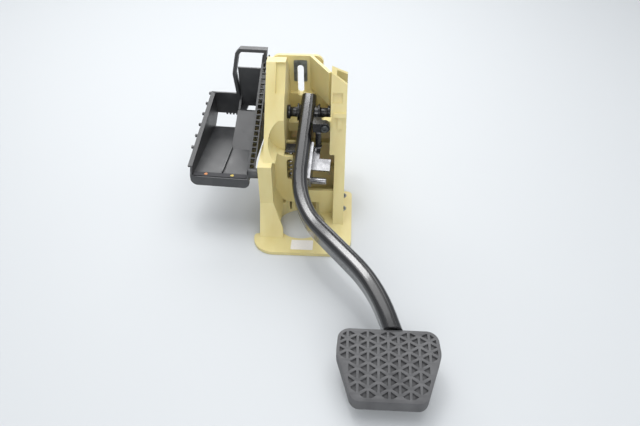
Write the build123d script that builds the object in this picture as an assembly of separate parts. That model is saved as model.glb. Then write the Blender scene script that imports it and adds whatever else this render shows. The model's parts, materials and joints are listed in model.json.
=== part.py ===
from build123d import *
import math
import os

# Suspended brake pedal on a moulded bulkhead bracket, in millimetres.
# Origin: centre of the bracket's mounting face. +X is to the driver's right, +Y is up along the
# bulkhead and +Z points away from it. The bracket lies on its mounting face at Z = 0.

# General clearances, and how far a cutter runs past the face it opens
SEAT_GAP = 0.05
RUN_GAP = 0.05
FREE_GAP = 0.3
PAST = 1.0
SAME = 0.01

# Mounting flange
FLANGE_WIDTH = 118.0
FLANGE_FRONT = -69.0
FLANGE_BACK = 67.0
FLANGE_THICK = 4.5
FLANGE_FRONT_R = 26.0
FLANGE_LOBE_BACK = -37.0
FLANGE_LOBE_R = 5.0
FLANGE_WING_BACK = 51.0
FLANGE_WING_R = 7.0
FLANGE_BACK_R = 22.0
WINDOW_X = -3.5
WINDOW_Y = -14.5
WINDOW_R = 29.5
WINDOW_RISE = 21.0
STUD_PITCH_X = 88.0
STUD_PITCH_Y = 26.0
STUD_CENTRE_X = 2.0
STUD_CENTRE_Y = 29.0
STUD_HOLE_R = 4.25
SLEEVE_R = 6.0

# Bracket side cheeks, each a ribbed channel that is open on its outer side
WALL = 4.0
LEFT_INNER = -24.0
LEFT_OUTER = -52.0
RIGHT_INNER = 29.5
RIGHT_OUTER = 48.5
CHEEK_BACK_FOOT = 62.0
PILLAR_FOOT_Y = -46.0
PILLAR_FACE_Y = -23.5
PILLAR_CREASE_Z = 42.0
PILLAR_TOP_Z = 94.0
PILLAR_TOP_DEPTH = 9.5
PILLAR_INNER = -36.0
PILLAR_FLARE_Z = 14.0
LEFT_UPPER_OUTER = -46.5
LEFT_PEAK_Y = 62.0
LEFT_PEAK_Z = 183.0
LEFT_PEAK_DEPTH = 14.0
LEFT_SHOULDER_Z = 150.0
RIGHT_FOOT_Y = -18.0
RIGHT_PEAK_Y = 60.5
RIGHT_PEAK_Z = 172.0
RIGHT_PEAK_DEPTH = 18.0
RIGHT_SHOULDER_Z = 130.0
RIGHT_LOWER_INNER = 35.5
RIGHT_STEP_Z = 84.0
RIGHT_PEAK_FALL = 13.0
SCOOP_X = -19.5
SCOOP_Z = 112.0
SCOOP_R = 22.0
SCOOP_BACK_Y = 18.0
STRIP_WIDTH = 11.0
STRIP_DEPTH = 3.0
STRIP_LENGTH = 36.0
RIB_THICK = 3.5
LEFT_RIB_LEAN = 10.0
LEFT_RIB_RISE = 20.0
RIGHT_RIB_LEAN = 4.0
RIGHT_RIB_FRONT = 22.0
RIGHT_RIB_CLIMB = 4.0
RECESS_AT = 160.0
RECESS_X = 37.5
RECESS_SIZE = 12.0
RECESS_DEPTH = 2.5
CATCH_AT = 134.0
CATCH_X = 40.5
CATCH_BAR = (15.0, 5.0, 5.0)
CATCH_BAR_AT = 6.0
CATCH_STEM = (5.0, 14.0, 3.0)
CATCH_STEM_AT = -3.0

# Roof wall with the upper fixing slot, and the walls that tie it to the cheeks
ROOF_Y = 104.0
ROOF_THICK = 5.0
ROOF_LEFT = -46.0
ROOF_RIGHT = 18.0
ROOF_TOP = 172.0
ROOF_CORNER_R = 10.0
ROOF_FOOT_Z = 88.0
SLOT_X = -10.5
SLOT_WIDTH = 8.0
SLOT_BOTTOM = 121.0
SLOT_TOP = 160.0
CLIP_WIDTH = 16.5
CLIP_BOTTOM = 138.0
CLIP_TOP = 166.0
CLIP_THICK = 1.5
CLIP_CORNER_R = 1.5
BEAM_FRONT = 66.0
BEAM_DEPTH_Z = 12.0
PANEL_Y = 97.0
PANEL_TOP = 124.0
BRACE_ROOF_X = 6.0
BRACE_CHEEK_Y = 64.0
BRACE_CHEEK_Z = 171.0
BRACE_FOOT = 129.0

# Spring tower and cross wall inside the bracket
TOWER_RIGHT = -13.5
TOWER_FRONT = 6.0
TOWER_BACK = 42.0
TOWER_TOP = 90.0
CROSS_WALL_TOP = 40.0
SPRING_X = -17.5
SPRING_Y = 17.0
SPRING_FOOT_Z = 52.0
SPRING_TOP_Z = 93.0
SPRING_R = 3.9
SPRING_WIRE_R = 0.8
SPRING_TURNS = 8
LOCATING_HOLE_R = 3.0
LOCATING_HOLE_Z = 21.5
LOCATING_HOLE_X = -27.5
BACK_RIB_DEPTH = 8.0
BACK_RIB_LEVELS = (30.0, 58.0)

# Pivot
PIVOT_Y = 60.0
PIVOT_Z = 119.0
BOLT_R = 5.0
BOLT_HEAD_FLATS = 17.0
BOLT_HEAD_HEIGHT = 6.4
NUT_HEIGHT = 8.0
BOLT_TIP = 2.0
WASHER_R = 10.0
WASHER_THICK = 2.0
COLLAR_R = 8.5
COLLAR_LENGTH = 4.0
SPACER_R = 6.0
HUB_R = 9.5
HUB_LEFT = -9.5
HUB_RIGHT = 14.0
BUSH_R = 7.5
HUB_BUSH_LENGTH = 10.0
BUSH_FLANGE_R = 10.5
BUSH_FLANGE_THICK = 2.0

# Pedal arm: a drawn tube, straight past the pivot and then bent to the right
ARM_WIDTH = 18.0
ARM_DEPTH = 27.0
ARM_CORNER_R = 6.0
ARM_WALL = 2.2
ARM_SEAM_R = 0.9
ARM_SLOPE = 30.0
ARM_TAIL = 18.5
ARM_PIVOT_X = 1.5
ARM_BEND = (-6.0, -48.0)
ARM_TURN = (84.0, -158.0, 47.0)
ARM_END = (110.0, -228.0, 22.0)
ARM_BEND_R = 104.0
ARM_TURN_R = 170.0

# Pad: rubber cover on a pressed plate, both rolled to one radius
PAD_X = 95.0
PAD_FAR_Y = -205.5
PAD_FACE_Z = 40.0
PAD_ROLL_R = 170.0
PAD_LENGTH = 69.0
PAD_FAR_WIDTH = 94.0
PAD_MID_WIDTH = 98.0
PAD_NEAR_WIDTH = 68.0
PAD_MID_AT = 26.0
PAD_FAR_CORNER_R = 12.0
PAD_NEAR_CORNER_R = 10.0
PAD_MID_CORNER_R = 20.0
PAD_THICK = 12.0
PAD_COVER = 6.0
PAD_RIM = 4.0
PAD_LIP = 9.0
PLATE_THICK = 3.0
TREAD_COLUMN_PITCH = 9.6
TREAD_ROW_PITCH = 11.6
TREAD_BAR = 2.5
TREAD_DEPTH = 2.6
TREAD_MARGIN = 3.0
TREAD_LEAST_AREA = 7.5

# Pushrod bracket, pin and spring lug on the arm, in the arm's own frame:
# across the arm, along it from the pivot towards the pad, and up from its centre line
EAR_THICK = 3.0
EAR_FROM = 42.0
EAR_TO = 89.0
EAR_TOP = 4.0
EAR_FOOT = -22.0
TAB_LEVEL = -9.5
TAB_STEM_WIDTH = 10.0
TAB_STEM_TO = 57.0
TAB_WIDTH = 24.0
TAB_TO = 72.0
TAB_DROP = 11.0
TAB_DROP_FROM = 61.0
PIN_AT = 83.5
PIN_LEVEL = -15.0
PIN_R = 4.0
PIN_LENGTH = 18.0
PIN_CHAMFER = 0.8
PIN_TAIL_R = 3.2
LUG_MARGIN = 1.2
LUG_THICK = 3.0
LUG_LENGTH = 15.0

# Brake light switch and its holder
SWITCH_X = 16.0
SWITCH_Y = 22.75
SWITCH_BARREL_R = 3.6
SWITCH_STANDOFF = 6.5
SWITCH_RING_R = 4.3
SWITCH_RING_HEIGHT = 1.6
PLUNGER_R = 2.0
PLUNGER_INSIDE = 8.0
HOLDER_LEFT = 9.5
HOLDER_FRONT = 18.0
HOLDER_BACK = 27.5
HOLDER_FOOT = 116.5
HOLDER_TOP = 128.5
HOLDER_SCREW_X = 23.5
SCREW_R = 2.0
SCREW_HEAD_R = 4.2
SCREW_HEAD_HEIGHT = 2.6
SCREW_REACH = 7.5
BOSS_DEPTH = 9.0
BOSS_R = 4.5
CONNECTOR_WIDTH = 9.5
CONNECTOR_HEIGHT = 8.5
CONNECTOR_DEPTH = 9.0
CONNECTOR_WALL = 1.2

# Rest stop
STOP_R = 5.0
STOP_Y = 74.0

# Cable tray, in its own frame: across from its right wall, back from its front lip, up from its floor
TRAY_X = -63.5
TRAY_Y = -21.0
TRAY_Z = 71.0
TRAY_TURN = -3.5
TRAY_WIDTH = 71.0
TRAY_LENGTH = 132.0
TRAY_WALL = 2.5
TRAY_FLOOR_BACK = 112.0
TRAY_SIDE_FRONT_Z = 13.0
TRAY_SIDE_BACK_Z = 43.0
TRAY_DIVIDER = 35.0
TRAY_DIVIDER_KNEE = (94.0, 21.0)
TRAY_SIDE_RUN = 6.0
TRAY_RIM = 3.0
TRAY_RIM_THICK = 2.0
TRAY_HOLE_LEFT = -24.5
TRAY_HOLE_RIGHT = -4.0
LADDER_WIDTH = 6.5
LADDER_RAIL = 1.5
LADDER_DEPTH = 3.0
LADDER_PITCH = 7.0
TRAY_RIGHT_BACK_Z = 98.0
TRAY_LIP_DROP = 10.0
TRAY_LIP_R = 8.0
TRAY_SHELF_Z = 30.0
TRAY_RAMP_FROM = 64.0
TRAY_SHELF_FROM = 112.0
TRAY_BACK_TOP = 80.0
LOOP_TOP = 108.0
LOOP_BAR = 4.0
LOOP_DEPTH = 9.0
LOOP_BULGE = 6.0
LOOP_LEAN = 5.0
LOOP_SHOULDER_Z = 74.0
TOOTH_WIDTH = 2.2
TOOTH_PITCH = 4.4
TOOTH_COUNT = 5
NUB_COUNT = 6
NUB_SIZE = 3.0
RIVET_R = 4.0
RIVET_PAD_R = 6.0
RIVET_LEVEL = 7.5
TRAY_PAD_Y = 81.0
TRAY_PAD_Z = 112.0
TRAY_PAD_R = 7.0
FOOT_MARGIN = 2.0


def block(x0, x1, y0, y1, z0, z1):
    """A box between two corners."""
    middle = Pos((x0 + x1) / 2, (y0 + y1) / 2, (z0 + z1) / 2)
    return middle * Box(x1 - x0, y1 - y0, z1 - z0)


def side_plate(points, x0, x1):
    """A (y, z) outline thickened from x0 to x1."""
    outline = Plane.YZ.offset(x0) * make_face(Polyline(*points, close=True))
    return extrude(outline, amount=x1 - x0, dir=(1, 0, 0))


def rod(radius, start, end):
    """A round bar between two points."""
    axis = Vector(*end) - Vector(*start)
    bar = Cylinder(radius, axis.length, align=(Align.CENTER, Align.CENTER, Align.MIN))
    return Plane(origin=start, z_dir=axis) * bar


def cross_rod(radius, x0, x1, y=PIVOT_Y, z=PIVOT_Z):
    """A round bar along X, by default on the pivot axis."""
    return rod(radius, (x0, y, z), (x1, y, z))


def hexagon(flats, x0, x1):
    """A hexagon bar along X on the pivot axis."""
    section = RegularPolygon(flats / 2, 6, major_radius=False)
    return extrude(Plane.YZ.offset(x0) * Pos(PIVOT_Y, PIVOT_Z) * section, amount=x1 - x0, dir=(1, 0, 0))


# Bracket
ROOF_BACK = ROOF_Y + ROOF_THICK
LEFT_SLOPE_Y = PILLAR_FACE_Y + PILLAR_TOP_DEPTH

LEFT_OUTLINE = [
    (PILLAR_FOOT_Y, 0),
    (PILLAR_FACE_Y, PILLAR_CREASE_Z),
    (PILLAR_FACE_Y, PILLAR_TOP_Z),
    (LEFT_SLOPE_Y, PILLAR_TOP_Z),
    (LEFT_PEAK_Y, LEFT_PEAK_Z),
    (LEFT_PEAK_Y + LEFT_PEAK_DEPTH, LEFT_PEAK_Z),
    (ROOF_BACK, LEFT_SHOULDER_Z),
    (ROOF_BACK, ROOF_FOOT_Z),
    (CHEEK_BACK_FOOT, 0),
]
RIGHT_OUTLINE = [
    (RIGHT_FOOT_Y, 0),
    (RIGHT_PEAK_Y, RIGHT_PEAK_Z),
    (RIGHT_PEAK_Y + RIGHT_PEAK_DEPTH, RIGHT_PEAK_Z),
    (ROOF_BACK, RIGHT_SHOULDER_Z),
    (ROOF_BACK, ROOF_FOOT_Z),
    (CHEEK_BACK_FOOT, 0),
]


def stud_places():
    """Centres of the four stud holes."""
    return [
        (STUD_CENTRE_X + sx * STUD_PITCH_X / 2, STUD_CENTRE_Y + sy * STUD_PITCH_Y / 2)
        for sx in (-1, 1)
        for sy in (-1, 1)
    ]


def plan(x0, x1, y0, y1):
    """A rectangle in plan between two corners."""
    return Pos((x0 + x1) / 2, (y0 + y1) / 2) * Rectangle(x1 - x0, y1 - y0)


def flange():
    """Plate with a lobe in front of the pillar and a wing outside the right cheek."""
    half = FLANGE_WIDTH / 2
    middle = plan(LEFT_OUTER, RIGHT_OUTER, FLANGE_LOBE_BACK, FLANGE_BACK)
    middle = fillet(middle.vertices().group_by(Axis.Y)[-1], FLANGE_BACK_R)
    front = plan(-half, half, FLANGE_FRONT, FLANGE_LOBE_BACK)
    front = fillet(front.vertices().group_by(Axis.Y)[0], FLANGE_FRONT_R)
    front = fillet(front.vertices().group_by(Axis.Y)[-1].sort_by(Axis.X)[0], FLANGE_LOBE_R)
    wing = plan(0, half, FLANGE_LOBE_BACK, FLANGE_WING_BACK)
    wing = fillet(wing.vertices().group_by(Axis.Y)[-1].sort_by(Axis.X)[-1], FLANGE_WING_R)
    return extrude(middle + front + wing, amount=FLANGE_THICK)


def pocket(points, ribs, keep, x0, x1):
    """The hollow of a cheek: its outline less the walls, ribs and solid regions."""
    inside = offset(make_face(Polyline(*points, close=True)), amount=-WALL, kind=Kind.INTERSECTION)
    floor_y = (points[0][0] + points[-1][0]) / 2
    inside -= Pos(floor_y, FLANGE_THICK / 2) * Rectangle(2 * FLANGE_WIDTH, FLANGE_THICK)
    for start, end in ribs:
        inside -= trace(Line(start, end), line_width=RIB_THICK)
    for y0, y1, z0, z1 in keep:
        inside -= Pos((y0 + y1) / 2, (z0 + z1) / 2) * Rectangle(y1 - y0, z1 - z0)
    return extrude(Plane.YZ.offset(x0) * inside, amount=x1 - x0, dir=(1, 0, 0))


def narrow_pillar(cheek):
    """Gives the pillar a web of its own and cuts away what is inside it, down to a flared foot."""
    web_back = TOWER_FRONT + WALL
    web_outline = [
        (PILLAR_FOOT_Y, 0),
        (PILLAR_FACE_Y, PILLAR_CREASE_Z),
        (PILLAR_FACE_Y, PILLAR_TOP_Z),
        (web_back, PILLAR_TOP_Z),
        (web_back, 0),
    ]
    cheek += side_plate(web_outline, PILLAR_INNER - WALL, LEFT_INNER)
    cut_outline = [
        (PILLAR_INNER, PILLAR_TOP_Z),
        (PILLAR_INNER, PILLAR_CREASE_Z),
        (LEFT_INNER, PILLAR_FLARE_Z),
        (LEFT_INNER + PAST, PILLAR_FLARE_Z),
        (LEFT_INNER + PAST, PILLAR_TOP_Z),
    ]
    cut = Plane.XZ.offset(-TOWER_FRONT) * make_face(Polyline(*cut_outline, close=True))
    return cheek - extrude(cut, amount=TOWER_FRONT - PILLAR_FOOT_Y, dir=(0, -1, 0))


def left_cheek():
    solid = side_plate(LEFT_OUTLINE, LEFT_OUTER, LEFT_INNER)
    ribs = [
        ((CHEEK_BACK_FOOT / 2, 0), (CHEEK_BACK_FOOT / 2 - LEFT_RIB_LEAN, SCOOP_Z - SCOOP_R)),
        ((SCOOP_BACK_Y, SCOOP_Z - SCOOP_R), (ROOF_BACK, ROOF_FOOT_Z)),
        ((SCOOP_BACK_Y + LEFT_RIB_RISE, SCOOP_Z + SCOOP_R), (ROOF_BACK, LEFT_SHOULDER_Z)),
    ]
    low = RIVET_PAD_R + FOOT_MARGIN
    high = TRAY_PAD_R + FOOT_MARGIN
    keep = [
        (PILLAR_FACE_Y, SCOOP_BACK_Y + WALL, SCOOP_Z - SCOOP_R - WALL, SCOOP_Z + SCOOP_R + WALL),
        (RIVET_Y - low, RIVET_Y + low, RIVET_Z - low, RIVET_Z + low),
        (TRAY_PAD_Y - high, TRAY_PAD_Y + high, TRAY_PAD_Z - high, TRAY_PAD_Z + high),
    ]
    solid -= pocket(LEFT_OUTLINE, ribs, keep, LEFT_OUTER, LEFT_INNER - WALL)
    solid = narrow_pillar(solid)
    solid -= rod(SCOOP_R, (SCOOP_X, PILLAR_FOOT_Y, SCOOP_Z), (SCOOP_X, SCOOP_BACK_Y, SCOOP_Z))
    back = ROOF_BACK + PAST
    top = LEFT_PEAK_Z + PAST
    solid -= block(LEFT_OUTER - PAST, LEFT_UPPER_OUTER, PILLAR_FOOT_Y, back, PILLAR_TOP_Z, top)
    slope = Vector(0, LEFT_PEAK_Y - LEFT_SLOPE_Y, LEFT_PEAK_Z - PILLAR_TOP_Z).normalized()
    middle = Vector(0, LEFT_PEAK_Y, LEFT_PEAK_Z) - slope * (STRIP_LENGTH / 2)
    face = Plane(
        origin=(LEFT_INNER - STRIP_WIDTH / 2, middle.Y, middle.Z),
        x_dir=(1, 0, 0),
        z_dir=(0, -slope.Z, slope.Y),
    )
    return solid - face * Box(STRIP_WIDTH, STRIP_LENGTH, 2 * STRIP_DEPTH)


def right_face(distance, across):
    """A plane on the right cheek's sloped front face, at a distance up it."""
    slope = Vector(0, RIGHT_PEAK_Y - RIGHT_FOOT_Y, RIGHT_PEAK_Z).normalized()
    point = Vector(0, RIGHT_FOOT_Y, 0) + slope * distance
    return Plane(origin=(across, point.Y, point.Z), x_dir=(1, 0, 0), z_dir=(0, -slope.Z, slope.Y))


def right_cheek():
    solid = side_plate(RIGHT_OUTLINE, RIGHT_INNER, RIGHT_OUTER)
    ribs = [
        ((CHEEK_BACK_FOOT / 2, 0), (CHEEK_BACK_FOOT / 2 - RIGHT_RIB_LEAN, ROOF_FOOT_Z)),
        ((RIGHT_RIB_FRONT, ROOF_FOOT_Z), (ROOF_BACK, ROOF_FOOT_Z + RIGHT_RIB_CLIMB)),
    ]
    solid -= pocket(RIGHT_OUTLINE, ribs, [], RIGHT_INNER + WALL, RIGHT_OUTER)
    step_top = RIGHT_STEP_Z + WALL
    inside = side_plate(RIGHT_OUTLINE, RIGHT_INNER, RIGHT_LOWER_INNER + WALL)
    solid += inside & block(RIGHT_INNER, RIGHT_OUTER, RIGHT_FOOT_Y, ROOF_BACK, 0, step_top)
    front = RIGHT_FOOT_Y - PAST
    back = ROOF_BACK + PAST
    solid -= block(RIGHT_INNER - PAST, RIGHT_LOWER_INNER, front, back, -PAST, RIGHT_STEP_Z)
    fall = [
        (RIGHT_INNER, RIGHT_PEAK_Z),
        (RIGHT_OUTER + PAST, RIGHT_PEAK_Z - RIGHT_PEAK_FALL),
        (RIGHT_OUTER + PAST, RIGHT_PEAK_Z + PAST),
    ]
    fall_cut = Plane.XZ.offset(-RIGHT_FOOT_Y) * make_face(Polyline(*fall, close=True))
    solid -= extrude(fall_cut, amount=ROOF_BACK - RIGHT_FOOT_Y, dir=(0, 1, 0))
    solid -= right_face(RECESS_AT, RECESS_X) * Box(RECESS_SIZE, RECESS_SIZE, 2 * RECESS_DEPTH)
    catch = right_face(CATCH_AT, CATCH_X)
    solid += catch * (Pos(0, CATCH_BAR_AT, CATCH_BAR[2] / 2 - PAST) * Box(*CATCH_BAR))
    solid += catch * (Pos(0, CATCH_STEM_AT, CATCH_STEM[2] / 2 - PAST) * Box(*CATCH_STEM))
    return solid


def slot_outline():
    """The upper fixing slot, in the roof wall's plane."""
    slot = SlotOverall(SLOT_TOP - SLOT_BOTTOM, SLOT_WIDTH, rotation=90)
    return Pos(SLOT_X, (SLOT_BOTTOM + SLOT_TOP) / 2) * slot


def roof():
    """Roof wall, its brace to the right cheek, the cross beam and the stepped panel behind the arm."""
    middle_x = (ROOF_LEFT + ROOF_RIGHT) / 2
    outline = Pos(middle_x, (ROOF_FOOT_Z + ROOF_TOP) / 2) * Rectangle(
        ROOF_RIGHT - ROOF_LEFT, ROOF_TOP - ROOF_FOOT_Z
    )
    outline = fillet(outline.vertices().group_by(Axis.Y)[-1], ROOF_CORNER_R)
    wall = extrude(Plane.XZ.offset(-ROOF_Y) * outline, amount=ROOF_THICK, dir=(0, 1, 0))
    beam = block(LEFT_INNER, RIGHT_INNER, BEAM_FRONT, ROOF_BACK, ROOF_FOOT_Z, ROOF_FOOT_Z + BEAM_DEPTH_Z)
    panel = block(LEFT_INNER, RIGHT_INNER, PANEL_Y, PANEL_Y + WALL, ROOF_FOOT_Z, PANEL_TOP)
    ledge = block(LEFT_INNER, RIGHT_INNER, PANEL_Y, ROOF_Y, PANEL_TOP - WALL, PANEL_TOP)
    reach = Vector(RIGHT_INNER - BRACE_ROOF_X, BRACE_CHEEK_Y - ROOF_Y, 0)
    side = Plane(origin=(BRACE_ROOF_X, ROOF_Y, 0), x_dir=reach, z_dir=(reach.Y, -reach.X, 0))
    brace = make_face(
        Polyline(
            (-WALL, BRACE_FOOT),
            (reach.length, BRACE_FOOT),
            (reach.length, BRACE_CHEEK_Z),
            (-WALL, ROOF_TOP),
            close=True,
        )
    )
    brace = extrude(side * brace, amount=WALL, dir=side.z_dir)
    slot = Plane.XZ.offset(PAST - PANEL_Y) * slot_outline()
    slot_cut = extrude(slot, amount=ROOF_BACK - PANEL_Y + 2 * PAST, dir=(0, 1, 0))
    return wall + beam + panel + ledge + brace - slot_cut


def inner_walls():
    """Spring tower on the left and the low wall that crosses under the arm."""
    tower = block(LEFT_INNER, TOWER_RIGHT, TOWER_FRONT, TOWER_BACK, 0, TOWER_TOP)
    inner_back = TOWER_BACK - WALL
    right = TOWER_RIGHT + PAST
    tower -= block(LEFT_INNER, right, TOWER_FRONT + WALL, inner_back, SPRING_FOOT_Z, TOWER_TOP + PAST)
    window = Pos(SPRING_X, (SPRING_FOOT_Z + TOWER_TOP) / 2) * SlotOverall(
        TOWER_TOP - SPRING_FOOT_Z - 2 * WALL, 2 * SPRING_R, rotation=90
    )
    tower -= extrude(Plane.XZ.offset(PAST - TOWER_FRONT) * window, amount=WALL + 2 * PAST, dir=(0, 1, 0))
    foot_top = SPRING_FOOT_Z - WALL
    tower -= block(LEFT_INNER, TOWER_RIGHT - WALL, TOWER_FRONT + WALL, inner_back, -PAST, foot_top)
    cross = block(TOWER_RIGHT, RIGHT_LOWER_INNER, TOWER_FRONT, TOWER_FRONT + WALL, 0, CROSS_WALL_TOP)
    return tower + cross


def back_wall():
    """Sloped wall that closes the bracket behind the arm, with two stiffening ledges."""
    back_foot = CHEEK_BACK_FOOT - WALL
    outline = [
        (back_foot, 0),
        (ROOF_BACK - WALL, ROOF_FOOT_Z),
        (ROOF_BACK, ROOF_FOOT_Z),
        (CHEEK_BACK_FOOT, 0),
    ]
    wall = side_plate(outline, LEFT_INNER, RIGHT_LOWER_INNER)
    lean = (ROOF_BACK - CHEEK_BACK_FOOT) / ROOF_FOOT_Z
    for level in BACK_RIB_LEVELS:
        y = back_foot + lean * level
        front = y - BACK_RIB_DEPTH
        wall += block(LEFT_INNER, RIGHT_LOWER_INNER, front, y + WALL / 2, level, level + RIB_THICK)
    return wall


def pedal_bracket():
    body = flange() + left_cheek() + right_cheek() + roof() + inner_walls() + back_wall()
    boss_back = HOLDER_BACK + BOSS_DEPTH
    boss_foot = HOLDER_MID_Z - BOSS_R
    boss_top = HOLDER_MID_Z + BOSS_R
    body += screw_bar(BOSS_R, HOLDER_BACK, boss_back)
    body += block(HOLDER_SCREW_X, RIGHT_INNER + PAST, HOLDER_BACK, boss_back, boss_foot, boss_top)
    body -= rod(WINDOW_R, (WINDOW_X, WINDOW_Y, -PAST), (WINDOW_X, WINDOW_Y, WINDOW_RISE))
    hole_start = (LOCATING_HOLE_X, TOWER_FRONT - PAST, LOCATING_HOLE_Z)
    hole_end = (LOCATING_HOLE_X, TOWER_FRONT + WALL + PAST, LOCATING_HOLE_Z)
    body -= rod(LOCATING_HOLE_R, hole_start, hole_end)
    for x, y in stud_places():
        body -= rod(SLEEVE_R + SEAT_GAP, (x, y, -PAST), (x, y, FLANGE_THICK + PAST))
    body -= cross_rod(BUSH_R + SEAT_GAP, LEFT_INNER - WALL - PAST, LEFT_INNER + PAST)
    body -= cross_rod(BUSH_R + SEAT_GAP, RIGHT_INNER - PAST, RIGHT_INNER + WALL + PAST)
    body -= screw_bar(SCREW_R + SEAT_GAP, HOLDER_BACK - PAST, HOLDER_BACK + SCREW_REACH + PAST)
    body -= rivet_hole()
    return body


def flange_sleeves():
    sleeves = []
    for x, y in stud_places():
        sleeve = rod(SLEEVE_R, (x, y, 0), (x, y, FLANGE_THICK))
        sleeves.append(sleeve - rod(STUD_HOLE_R, (x, y, -PAST), (x, y, FLANGE_THICK + PAST)))
    return Compound(children=sleeves)


def slot_clip():
    """Sheet metal horseshoe that lines the upper fixing slot, against the roof wall's front."""
    outline = RectangleRounded(CLIP_WIDTH, CLIP_TOP - CLIP_BOTTOM, CLIP_CORNER_R)
    outline = Pos(SLOT_X, (CLIP_BOTTOM + CLIP_TOP) / 2) * outline
    outline -= slot_outline()
    return extrude(Plane.XZ.offset(-ROOF_Y) * outline, amount=CLIP_THICK, dir=(0, -1, 0))


# Pivot
def pivot_bolt():
    head_x = LEFT_INNER - WALL - WASHER_THICK
    end_x = RIGHT_INNER + WALL + WASHER_THICK + NUT_HEIGHT + BOLT_TIP
    return cross_rod(BOLT_R, head_x, end_x) + hexagon(BOLT_HEAD_FLATS, head_x - BOLT_HEAD_HEIGHT, head_x)


def pivot_nut():
    start = RIGHT_INNER + WALL + WASHER_THICK
    end = start + NUT_HEIGHT
    return hexagon(BOLT_HEAD_FLATS, start, end) - cross_rod(BOLT_R + SEAT_GAP, start - PAST, end + PAST)


def ring(radius, bore, x0, x1):
    """A tube along the pivot axis."""
    return cross_rod(radius, x0, x1) - cross_rod(bore, x0 - PAST, x1 + PAST)


def spacer(x0, x1):
    return ring(SPACER_R, BOLT_R + SEAT_GAP, x0, x1)


def pivot_washers():
    left = LEFT_INNER - WALL
    right = RIGHT_INNER + WALL
    bore = BOLT_R + SEAT_GAP
    left_washer = ring(WASHER_R, bore, left - WASHER_THICK, left)
    right_washer = ring(WASHER_R, bore, right, right + WASHER_THICK)
    return Compound(children=[left_washer, right_washer])


def cheek_bush(wall_x, side):
    """Flanged bush in a cheek; side is +1 where the pedal is to its right."""
    bore = BOLT_R + SEAT_GAP
    body_x = sorted((wall_x, wall_x - side * WALL))
    collar_x = sorted((wall_x, wall_x + side * COLLAR_LENGTH))
    collar = cross_rod(COLLAR_R, *collar_x)
    body = cross_rod(BUSH_R, *body_x)
    return collar + body - cross_rod(bore, min(body_x + collar_x) - PAST, max(body_x + collar_x) + PAST)


def hub_bush(end_x, side):
    """Flanged bush in one end of the hub; side is +1 on the right."""
    bore = BOLT_R + RUN_GAP
    flange_x = sorted((end_x, end_x + side * BUSH_FLANGE_THICK))
    body_x = sorted((end_x, end_x - side * HUB_BUSH_LENGTH))
    shape = cross_rod(BUSH_FLANGE_R, *flange_x) + cross_rod(BUSH_R, *body_x)
    return shape - cross_rod(bore, min(flange_x + body_x) - PAST, max(flange_x + body_x) + PAST)


# Pedal arm
def slope_point(y):
    """Height of the arm's centre line on its straight part."""
    return PIVOT_Z - (PIVOT_Y - y) * math.tan(math.radians(ARM_SLOPE))


ARM_BEND_POINT = Vector(ARM_BEND[0], ARM_BEND[1], slope_point(ARM_BEND[1]))
ARM_CENTRE = Vector(ARM_PIVOT_X, PIVOT_Y, PIVOT_Z)
ARM_DOWN = (ARM_BEND_POINT - ARM_CENTRE).normalized()
ARM_RIGHT = Vector(-ARM_DOWN.Y, ARM_DOWN.X, 0).normalized()
ARM_FRAME = Plane(origin=ARM_CENTRE, x_dir=ARM_RIGHT, z_dir=ARM_RIGHT.cross(ARM_DOWN) * -1)


def arm_path():
    tail = ARM_CENTRE - ARM_DOWN * ARM_TAIL
    return FilletPolyline(tail, ARM_BEND_POINT, ARM_TURN, ARM_END, radius=[ARM_BEND_R, ARM_TURN_R])


def arm_section(inset):
    """Rounded oblong section at the tail, inset by a wall thickness."""
    outline = RectangleRounded(ARM_WIDTH - 2 * inset, ARM_DEPTH - 2 * inset, ARM_CORNER_R - inset / 2)
    if inset == 0:
        outline -= Pos(ARM_WIDTH / 2 - ARM_CORNER_R, ARM_DEPTH / 2) * Circle(ARM_SEAM_R)
    tail = ARM_CENTRE - ARM_DOWN * ARM_TAIL
    return Plane(origin=tail, x_dir=ARM_RIGHT, z_dir=ARM_DOWN) * outline


def arm_outer():
    return sweep(arm_section(0), path=arm_path())


def pedal_arm():
    inner = sweep(arm_section(ARM_WALL), path=arm_path())
    cap = extrude(arm_section(ARM_WALL), amount=ARM_WALL, dir=ARM_DOWN)
    arm = arm_outer() - (inner - cap)
    arm -= cross_rod(HUB_R + SEAT_GAP, HUB_LEFT - ARM_WIDTH, HUB_RIGHT + ARM_WIDTH)
    big = pad_outline(FREE_GAP)
    arm -= pad_layer(-3 * PAD_THICK, PAD_COVER + PLATE_THICK, big)
    arm -= pad_layer(PAD_COVER, PAD_THICK + FREE_GAP, big) - pad_layer(
        PAD_COVER, PAD_THICK + 2 * FREE_GAP, pad_outline(-PAD_LIP - FREE_GAP)
    )
    return arm


def hub_tube():
    return ring(HUB_R, BUSH_R + SEAT_GAP, HUB_LEFT, HUB_RIGHT)


def arm_box(x0, x1, from_pivot, to_pivot, low, high):
    """A box in the arm's own frame; distances run from the pivot towards the pad."""
    return ARM_FRAME * block(x0, x1, -to_pivot, -from_pivot, low, high)


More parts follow.
